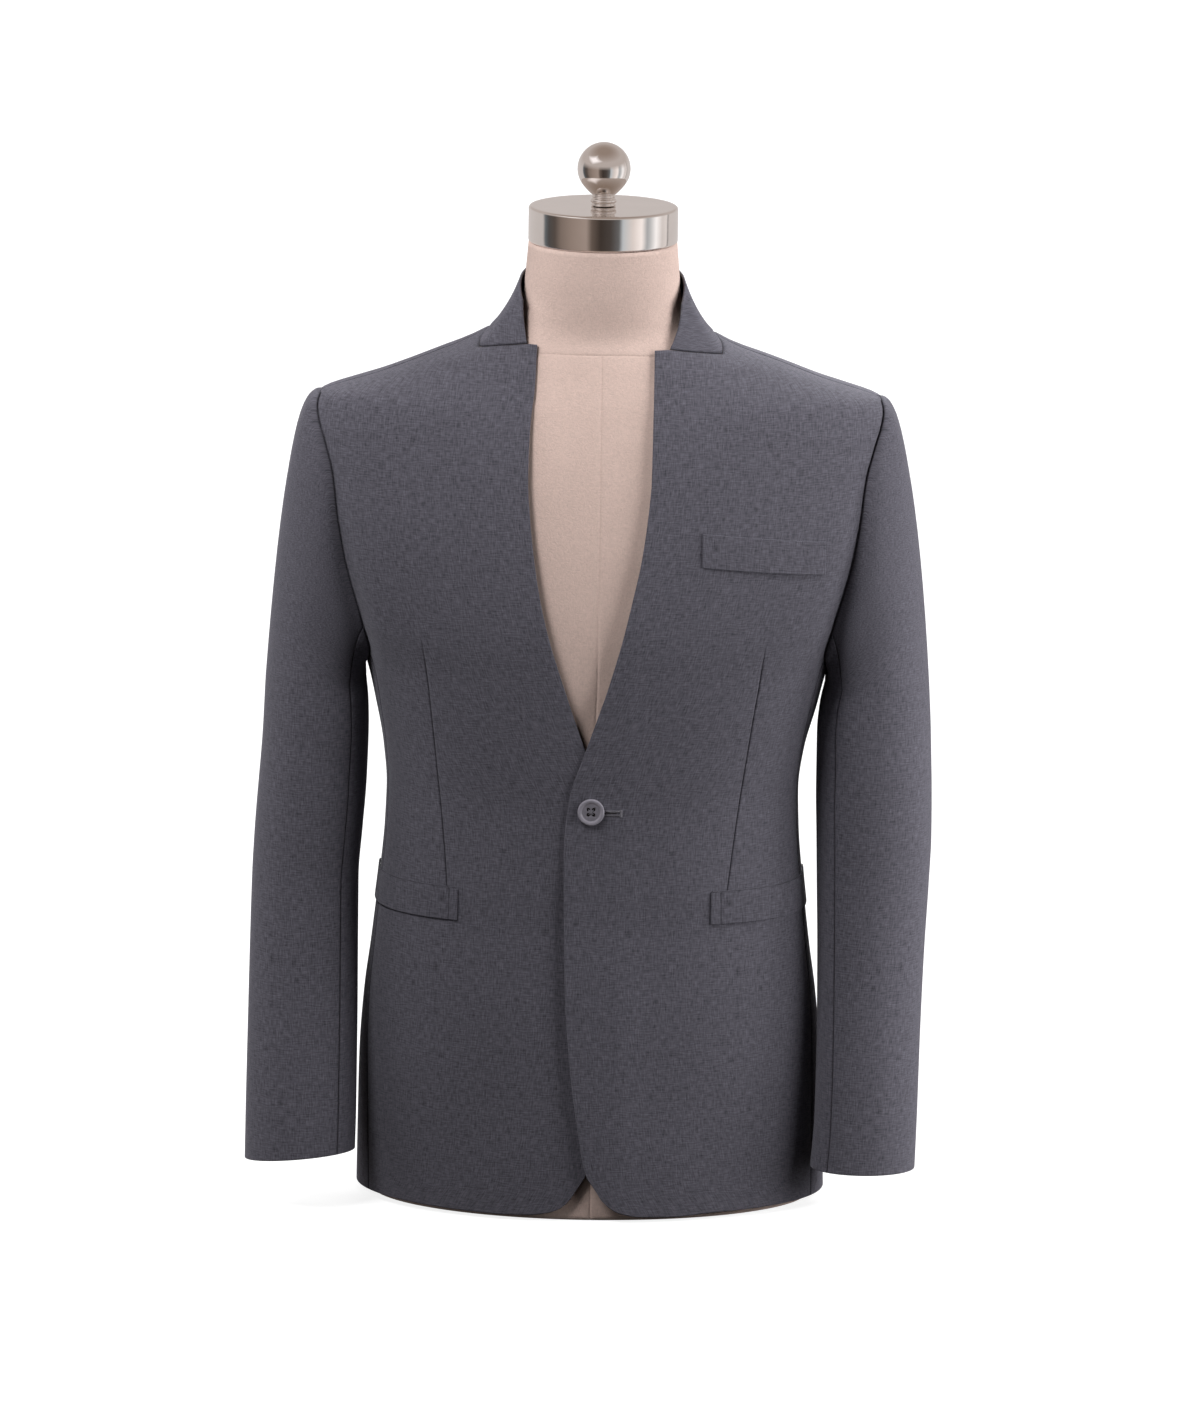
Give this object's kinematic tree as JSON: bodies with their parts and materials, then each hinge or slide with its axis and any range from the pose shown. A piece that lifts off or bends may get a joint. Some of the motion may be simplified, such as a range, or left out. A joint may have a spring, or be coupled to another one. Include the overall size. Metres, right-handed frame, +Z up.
{
  "type": "suit jacket on dress form",
  "caption": "Single-button suit jacket with a stand collar, long sleeves and welt pockets, worn by a limbless linen dress form with a polished neck cap and ball finial.",
  "frame": {"origin": "centre of the form's flat underside", "axes": "+Z up the neck, the front of the jacket faces -Y, +X towards the wearer's left"},
  "size_m": [0.5615, 0.2772, 0.875],
  "materials": {
    "cloth": "fine plain worsted suiting, heathered mid grey",
    "linen": "natural linen stretched over the form",
    "metal": "polished nickel plate",
    "plastic": "satin grey button"
  },
  "bodies": {
    "root": {"form_torso": "linen", "neck_cap": "metal", "cap_ball": "metal", "front_left": "cloth", "front_right": "cloth", "side_left": "cloth", "side_right": "cloth", "back_left": "cloth", "back_right": "cloth", "sleeve_top_left": "cloth", "sleeve_top_right": "cloth", "sleeve_under_left": "cloth", "sleeve_under_right": "cloth", "collar": "cloth", "welt_chest": "cloth", "welt_waist_left": "cloth", "welt_waist_right": "cloth", "button": "plastic"}
  },
  "joints": []
}
